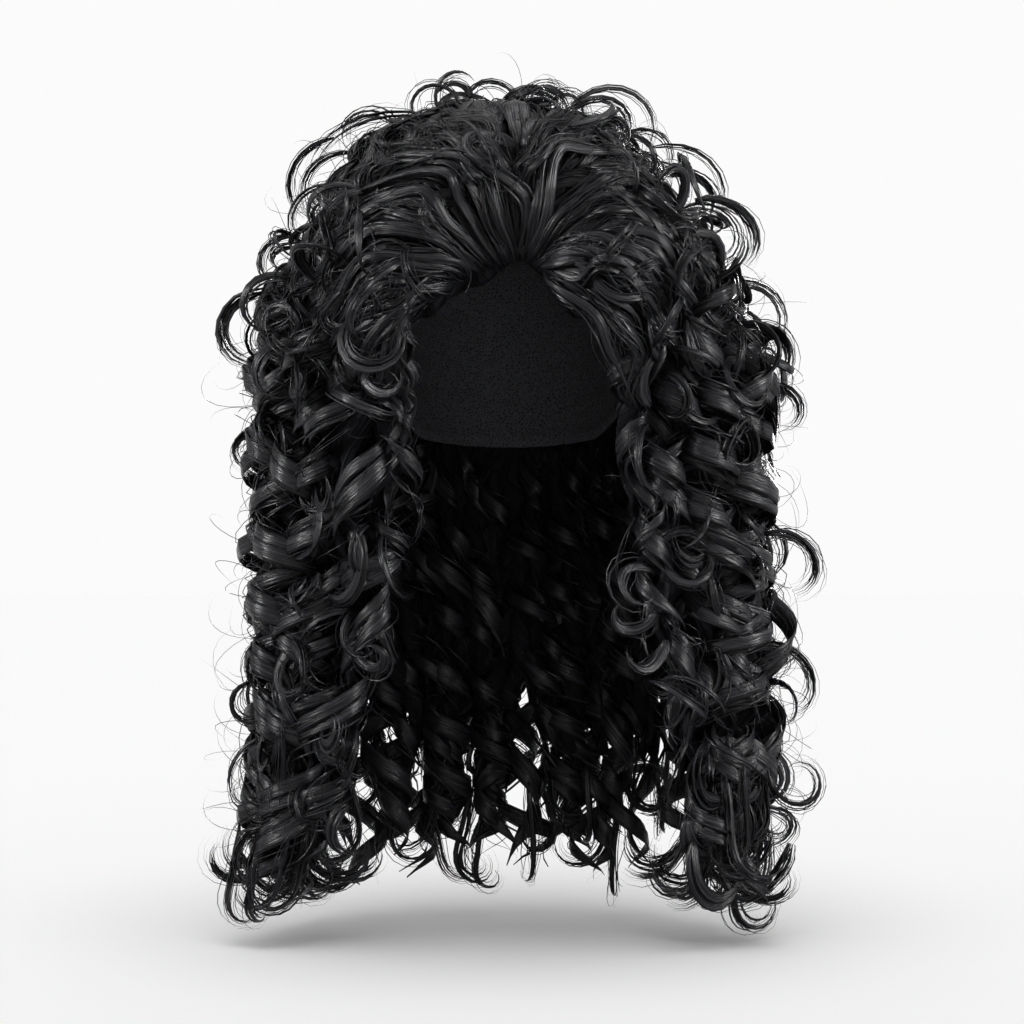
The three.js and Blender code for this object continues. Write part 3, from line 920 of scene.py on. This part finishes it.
def front_loops(rows, rng):
    """Locks that roll in the front plane, near the middle of the wig's depth."""
    bundles = []
    for x, z, start, radius, sweep, hand, fullness in rows:
        heading = np.array([np.cos(np.radians(start)), 0, np.sin(np.radians(start))])
        axle = np.array([rng.normal(0, LOOP_TILT), hand, rng.normal(0, LOOP_TILT)])
        root = np.array([x, rng.uniform(*LOOP_DEPTHS), z])
        line, across = curl(root, heading, axle, radius, sweep)
        room = (5, 0.6 * fullness + 1)
        counts = (1 + fullness // 4, fullness // 2, LOOP_STRANDS)
        bundles += lock(line, across, room, counts, rng, LOOP_FAN, TURNED_ANY_WAY)
    return bundles


def tendrils(rows, rng):
    """Thin locks that leave the ringlets at the front opening and hang against them."""
    bundles = []
    for strips, places in rows:
        x, z = np.array(places, float).T
        rooted = 1 - smooth(0, 2.5, np.arange(len(places)))
        lift = TENDRIL_LIFT + z * TENDRIL_LEAN - TENDRIL_ROOT_SUNK * rooted
        line = through_stations(on_front(x, z, lift), 6 * len(places))
        across = np.tile([0.0, 1.0, 0.3], (len(line), 1))
        room, counts = (3, strips + 0.5), (1, strips, TENDRIL_STRANDS)
        bundles += lock(line, across, room, counts, rng, 0, TURNED_ANY_WAY)
    return bundles


for (name, rows), node, seed in zip(SIDE_RINGLETS.items(), hanging[:2], (21, 22)):
    side_draws = np.random.default_rng(seed)
    side_locks = front_loops(SIDE_LOOPS[name], side_draws) + tendrils(TENDRILS[name], side_draws)
    long_lines = []
    for row in rows:
        angle, bottom = row[:2]
        proud = SIDES_STAND_PROUD * np.abs(np.cos(np.radians(angle)))
        top = RINGLET_TOP - FRONT_TOP_DROP * smooth(0.3, 0.9, -np.sin(np.radians(angle)))
        locks, lines = hanging_ringlet(row, SIDE_LAYERS, top, proud, side_draws)
        side_locks += locks
        if bottom < LONG_RINGLET_END:
            long_lines += lines
    angles = [row[0] for row in rows]
    tips = TIPS_PER_RINGLET * len(long_lines)
    side_locks += hanging_curls(SIDE_CURLS, (min(angles), max(angles)), SIDE_CURL_HEIGHTS, side_draws)
    side_locks += hanging_tips(tips, long_lines, SIDE_TIPS_PART, True, side_draws)
    side_locks += front_loops(END_LOOPS[name], side_draws)
    dress(name, joined_mesh(name, side_locks), hair_fibre, "hair", node)


# Crown hair. The top is teased up and combed back from the front, so soft waves run over the dome
# and loose loops of curl stand up all over it. The loops have the same columns as those of the sides.
CROWN_WAVES = 90
WAVE_POINTS = 16
WAVES_FIRST_ANGLE = -45
WAVES_SPAN = 270
WAVES_APART = 0.618
WAVES_START = 0.62
WAVE_LENGTHS = (0.35, 0.5)
WAVES_DROP = 122
WAVES_DRIFT = (-50, 50)
WAVE_SUNK = 2
WAVE_ROOM = (18, 5)
WAVE_COUNTS = (2, 1, 4)
COMBED_BACK = 34
COMBED_X = (-72, 66)
COMBED_FROM_Y = (-100, -60)
COMBED_TO_Y = (-5, 50)
COMBED_WIDENS = 0.25
COMBED_STRAYS = 14
COMBED_LIFT = 3
COMBED_ROOM = (15, 5)
CROWN_CURLS = 112
CROWN_CURL_ANGLES = (-50, 230)
CROWN_CURL_DROP = 115
CROWN_CURL_SUNK = 6
CROWN_LYING = [0, 0.2, 0.5, 0.9]
CROWN_LOOPS = [
    (-43, 25, 172, 50, 95, -1, 5),
    (-94, 12, 190, 24, 150, -1, 2),
    (-86, 8, 178, 24, 140, -1, 2),
    (-38, 30, 65, 20, 170, 1, 4),
    (-40, 40, 60, 8.5, 300, 1, 1),
    (-24, 30, 80, 16, 200, 1, 3),
    (-4, 28, 82, 19, 200, 1, 5),
    (3, 28, 60, 16, 180, 1, 3),
    (28, 24, 55, 20, 200, 1, 4),
    (34, 30, 45, 24, 190, 1, 1),
    (-60, 22, 120, 15, 210, -1, 3),
    (62, 16, 30, 18, 170, 1, 3),
    (77, 8, 15, 29, 145, 1, 1),
    (88, -4, 20, 16, 180, 1, 6),
    (101, -22, 15, 21, 170, 1, 8),
    (117, -66, 25, 20, 190, 1, 3),
    (-118, -38, 175, 13, 200, -1, 2),
]
DOME_HEIGHTS = np.linspace(CROWN_TOP_Z, -80, 119)[:, None]
DOME_CENTRE = [0, 5, -60]
DOME_AXES = np.array([108.0, 118, 98])


def dome_normal(place):
    """The way out of the crown at a place on it."""
    return unit((place - DOME_CENTRE) / DOME_AXES**2)


def on_dome(x, y, lift):
    """Places on the top of the hair's outer form, raised by a lift, at given x and y."""
    left, right, front, back = reaches(DOME_HEIGHTS)
    reach_x, reach_y = np.where(x > 0, right, left) + 1e-6, np.where(y > 0, back, front) + 1e-6
    power = 2 / OUTLINE_ROUNDNESS
    inside = (np.abs(x) / reach_x) ** power + (np.abs(y) / reach_y) ** power < 1
    inside[-1] = True
    place = np.stack([x, y, DOME_HEIGHTS[inside.argmax(axis=0), 0]], axis=-1)
    return place + lift[:, None] * dome_normal(place)


def waved(line, across, depths, lengths, rng):
    """A lock's centre line with the S-waves of set hair, within bounds of depth and of length."""
    depth, length = rng.uniform(*depths), rng.uniform(*lengths)
    run = np.concatenate([[0], np.cumsum(np.linalg.norm(np.diff(line, axis=0), axis=1))])
    turn = (2 * np.pi * run / length + rng.uniform(0, WHOLE_TURN))[:, None]
    tangent = unit(np.gradient(line, axis=0))
    across = square_to(tangent, across)
    swing = (depth * smooth(0, 2 * length, run + 0.4 * length))[:, None]
    return line + swing * (np.sin(turn) * across + 0.6 * np.cos(turn) * np.cross(tangent, across))


crown_draws = np.random.default_rng(31)
wave_locks = []
for number in range(CROWN_WAVES):
    angle = WAVES_FIRST_ANGLE + WAVES_SPAN * (number * WAVES_APART % 1)
    start = WAVES_START * (number / CROWN_WAVES) ** 0.7
    down = np.linspace(start, start + crown_draws.uniform(*WAVE_LENGTHS), WAVE_POINTS)
    height = CROWN_TOP_Z - 1 - WAVES_DROP * down**DOME_EASE
    bearing = angle + crown_draws.uniform(*WAVES_DRIFT) * (down - start)
    line = on_outline(bearing, height, WAVE_SUNK + 3 * np.cos(down * 18 + number))
    beside = on_outline(bearing[:, None] + [[-3, 3]], height[:, None], WAVE_SUNK)
    across = np.gradient(beside, axis=1)[:, 0]
    line = waved(line, across, (2, 5), (30, 46), crown_draws)
    wave_locks += lock(line, across, WAVE_ROOM, WAVE_COUNTS, crown_draws)
for number in range(COMBED_BACK):
    x = crown_draws.uniform(*COMBED_X)
    front_y, back_y = crown_draws.uniform(*COMBED_FROM_Y), crown_draws.uniform(*COMBED_TO_Y)
    along = np.linspace(0, 1, WAVE_POINTS)
    drift = x * (1 + COMBED_WIDENS * along) + crown_draws.normal(0, COMBED_STRAYS) * along
    lift = COMBED_LIFT * np.sin(along * crown_draws.uniform(6, 12) + number) - COMBED_LIFT
    line = on_dome(drift, np.linspace(front_y, back_y, WAVE_POINTS), lift)
    across = np.tile([1.0, 0.0, 0.0], (WAVE_POINTS, 1))
    line = waved(line, across, (1, 3.5), (36, 56), crown_draws)
    wave_locks += lock(line, across, COMBED_ROOM, WAVE_COUNTS, crown_draws)
dress("crown_waves", joined_mesh("crown_waves", wave_locks), hair_fibre, "hair", "crown_hair")

curl_locks = front_loops(CROWN_LOOPS, crown_draws)
for _ in range(CROWN_CURLS):
    angle = crown_draws.uniform(*CROWN_CURL_ANGLES)
    height = CROWN_TOP_Z - 2 - CROWN_CURL_DROP * crown_draws.uniform(0, 1) ** 1.2
    root = on_outline(angle, height, CROWN_CURL_SUNK)
    falls = crown_draws.normal(0, 1, 3) * [1, 0.5, 0.5] + [0, 0, -0.6]
    lying = crown_draws.choice(CROWN_LYING)
    radius = crown_draws.uniform(7, 12 + 5 * smooth(25, -15, height))
    curl_locks += loose_curl(root, dome_normal(root), falls, lying, radius, crown_draws)
dress("crown_curls", joined_mesh("crown_curls", curl_locks), hair_fibre, "hair", "crown_hair")


# Fringe. The front hair rises from the hairline and is combed up and back from the parting in two
# swept halves that fall at the temples. Each row below is a line of the comb, from its root on the
# hairline to where it ends in the curls.
COMB_LIFT = np.array([-31, -13, 2, 1, -4])
COMB_LINES = {
    "fringe_sweep_left": [
        [(-40, -78), (-51, -85), (-58, -100), (-61, -120), (-65, -140)],
        [(-25, -69), (-42, -66), (-63, -69), (-83, -84), (-98, -106)],
        [(-14, -65), (-35, -51), (-60, -46), (-86, -54), (-106, -72)],
        [(-6, -62), (-27, -36), (-50, -23), (-75, -26), (-96, -41)],
        [(1, -60), (-14, -26), (-30, -5), (-50, 0), (-70, -10)],
        [(8, -60), (5, -26), (-4, 2), (-16, 16), (-32, 20)],
    ],
    "fringe_sweep_right": [
        [(20, -64), (35, -76), (50, -94), (59, -116), (66, -142)],
        [(17, -63), (34, -66), (53, -66), (72, -82), (84, -104)],
        [(14, -62), (42, -46), (66, -43), (84, -58), (88, -84)],
        [(12, -61), (40, -33), (64, -26), (87, -40), (100, -70)],
        [(10, -60), (27, -26), (47, -9), (72, -10), (94, -28)],
        [(7, -60), (8, -26), (14, 2), (30, 14), (52, 14)],
    ],
}
COMB_LOCKS = 42
COMB_POINTS = 22
COMB_STRAYS = 5
COMB_LIFT_VARIES = (-4, 5)
COMB_ROOM = (10, 6)
COMB_COUNTS = (2, 3, 6)
COMB_ROLL = 0.6
TEMPLE_CURLS = 28
TEMPLE_STRAYS = 8
TEMPLE_LIFT = -5
TEMPLE_LYING = [0.2, 0.6, 0.9]
TEMPLE_RADIUS = (8, 17)

for (name, rows), node, seed in zip(COMB_LINES.items(), fringes, (41, 42)):
    comb_draws = np.random.default_rng(seed)
    comb = np.array(rows, float)
    sweep_locks = []
    for _ in range(COMB_LOCKS):
        row = comb_draws.uniform(0, len(comb) - 1.001)
        lower, share = int(row), row % 1
        flat = comb[lower] * (1 - share) + comb[lower + 1] * share
        flat[1:] += comb_draws.normal(0, COMB_STRAYS, (4, 2))
        lift = COMB_LIFT + comb_draws.uniform(*COMB_LIFT_VARIES)
        line = through_stations(on_front(flat[:, 0], flat[:, 1], lift), COMB_POINTS)
        apart = on_front(*comb[lower + 1].T, lift) - on_front(*comb[lower].T, lift)
        across = through_stations(apart, COMB_POINTS)
        line = waved(line, across, (0.4, 1.8), (38, 70), comb_draws)
        sweep_locks += lock(line, across, COMB_ROOM, COMB_COUNTS, comb_draws, 0, COMB_ROLL)
    for _ in range(TEMPLE_CURLS):
        row = comb_draws.integers(1, len(comb))
        x, z = comb[row, comb_draws.integers(2, 5)] + comb_draws.normal(0, TEMPLE_STRAYS, 2)
        root = on_front(x, z, TEMPLE_LIFT)
        falls = np.array([np.sign(x), 0, -1.0]) + comb_draws.normal(0, 0.7, 3)
        lying = comb_draws.choice(TEMPLE_LYING)
        radius = comb_draws.uniform(*TEMPLE_RADIUS)
        sweep_locks += loose_curl(root, dome_normal(root), falls, lying, radius, comb_draws)
    dress(name, joined_mesh(name, sweep_locks), hair_fibre, "hair", node)


# Flyaway hair. Single fibres that have come loose from the curls all round the wig, some lying on
# the curls and some standing off them. More of them stand at its two sides.
FLYAWAYS = 620
FLYAWAY_HALF = (0.17, 0.17)
FLYAWAY_ROOM = (2, 2)
FLYAWAY_WAVER = 0.2
FLYAWAY_LOWEST = -370
FLYAWAY_SUNK = 3
FLYAWAY_RADIUS = (7, 22)
FLYAWAY_SWEEP = (90, 280)
FLYAWAY_REACH = 15
FLYAWAY_PLACES = [0.6, 0.2, 0.2]
SIDE_ANGLES = (0, 180)
SIDE_STRAYS = 15
OPENING_TOP_Z = -60
HANGING_ANGLES = (-55, 235)
fly_draws = np.random.default_rng(51)
fly_locks = []
for _ in range(FLYAWAYS):
    height = fly_draws.uniform(FLYAWAY_LOWEST, CROWN_TOP_Z)
    anywhere = fly_draws.uniform(*(HANGING_ANGLES if height < OPENING_TOP_Z else (0, 360)))
    at_sides = [fly_draws.normal(side, SIDE_STRAYS) for side in SIDE_ANGLES]
    angle = fly_draws.choice([anywhere, *at_sides], p=FLYAWAY_PLACES)
    root = on_outline(angle, height, FLYAWAY_SUNK)
    outward = dome_normal(root) if height > OPENING_TOP_Z else unit(root * [1, 1, 0])
    heading = outward * fly_draws.uniform(0.1, 1) + fly_draws.normal(0, 0.5, 3)
    radius, sweep = fly_draws.uniform(*FLYAWAY_RADIUS), fly_draws.uniform(*FLYAWAY_SWEEP)
    line, across = curl(root, heading, fly_draws.normal(0, 1, 3), radius, sweep)
    line = kept_near(line, FLYAWAY_REACH)
    fly_locks.append(
        fibres(line, across, FLYAWAY_ROOM, 1, FLYAWAY_HALF, STRAND_SIDES, FLYAWAY_WAVER, 0, 0, fly_draws)
    )
dress("flyaway_fibres", joined_mesh("flyaway_fibres", fly_locks), hair_fibre, "hair", "crown_hair")


# Studio. A pale floor under a white sky, with lit ceiling panels that shade it softly, lamps round
# the wig that light it alone, and a camera level with the middle of the wig that looks straight at
# its front.
FLOOR_DROP = 0.002
FLOOR_HALF = 6
CEILING_LIGHT = 1.45
CEILING_SPREAD = 50
CEILING_TILT = 14
CAMERA_PLACE = (0.002, -1.4, -0.19)
CAMERA_LENS = 89.5
CAMERA_SENSOR = 36
LAMP_AIM = (0, 0, -0.15)
lit_by_lamps = bpy.data.collections.new("lit_by_lamps")
for piece in bpy.context.scene.objects:
    lit_by_lamps.objects.link(piece)
floor_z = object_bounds()[0].z - FLOOR_DROP
floor_shape = bmesh.new()
bmesh.ops.create_grid(floor_shape, x_segments=1, y_segments=1, size=FLOOR_HALF)
for corner in floor_shape.verts:
    corner.co.z = floor_z
floor_mesh = bpy.data.meshes.new("pale_floor")
floor_shape.to_mesh(floor_mesh)
floor_shape.free()
floor_paint = bpy.data.materials.new("pale_matt_paint")
floor_paint.use_nodes = True
add_node(floor_paint, "Principled BSDF", {"Base Color": linear("#fdfdfd"), "Roughness": 0.9}, {})
floor_mesh.materials.append(floor_paint)
in_scene("pale_floor", floor_mesh)

sky = bpy.data.worlds.new("white_sky")
sky.use_nodes = True
sky_place = add_node(sky, "ShaderNodeTexCoord", {}, {})
sky_rise = add_node(sky, "ShaderNodeSeparateXYZ", {}, {"Vector": sky_place.outputs["Generated"]})
sky_light = add_node(
    sky,
    "ShaderNodeMapRange",
    {"From Min": 0.25, "From Max": 0.6, "To Min": 1.0, "To Max": 0.45},
    {"Value": sky_rise.outputs["Z"]},
)
add_node(sky, "Background", {"Color": linear("#fbfbfb")}, {"Strength": sky_light.outputs["Result"]})
bpy.context.scene.world = sky
bpy.context.scene.view_settings.view_transform = "Standard"

# Columns: name, place, side length, power.
LAMPS = [
    ("key_lamp", (-1.45, -0.7, 0.45), 0.6, 96),
    ("fill_lamp", (1.45, -0.7, 0.35), 0.7, 96),
    ("low_lamp", (0.15, -1.35, -0.65), 0.9, 30),
    ("top_lamp", (0.0, 0.3, 1.4), 0.8, 12),
    ("back_lamp", (0.4, 1.7, 0.15), 0.8, 44),
]
for name, place, side, power in LAMPS:
    lamp_light = bpy.data.lights.new(name, "AREA")
    lamp_light.size = side
    lamp_light.energy = power
    lamp = in_scene(name, lamp_light)
    lamp.location = place
    lamp.rotation_euler = (Vector(LAMP_AIM) - Vector(place)).to_track_quat("-Z", "Y").to_euler()
    lamp.light_linking.receiver_collection = lit_by_lamps

ceiling_light = bpy.data.lights.new("ceiling_panels", "SUN")
ceiling_light.energy = CEILING_LIGHT
ceiling_light.angle = np.radians(CEILING_SPREAD)
ceiling = in_scene("ceiling_panels", ceiling_light)
ceiling.rotation_euler = (np.radians(CEILING_TILT), 0, 0)

camera_lens = bpy.data.cameras.new("front_camera")
camera_lens.lens = CAMERA_LENS
camera_lens.sensor_width = CAMERA_SENSOR
camera = in_scene("front_camera", camera_lens)
camera.location = CAMERA_PLACE
camera.rotation_euler = (np.pi / 2, 0, 0)
bpy.context.scene.camera = camera
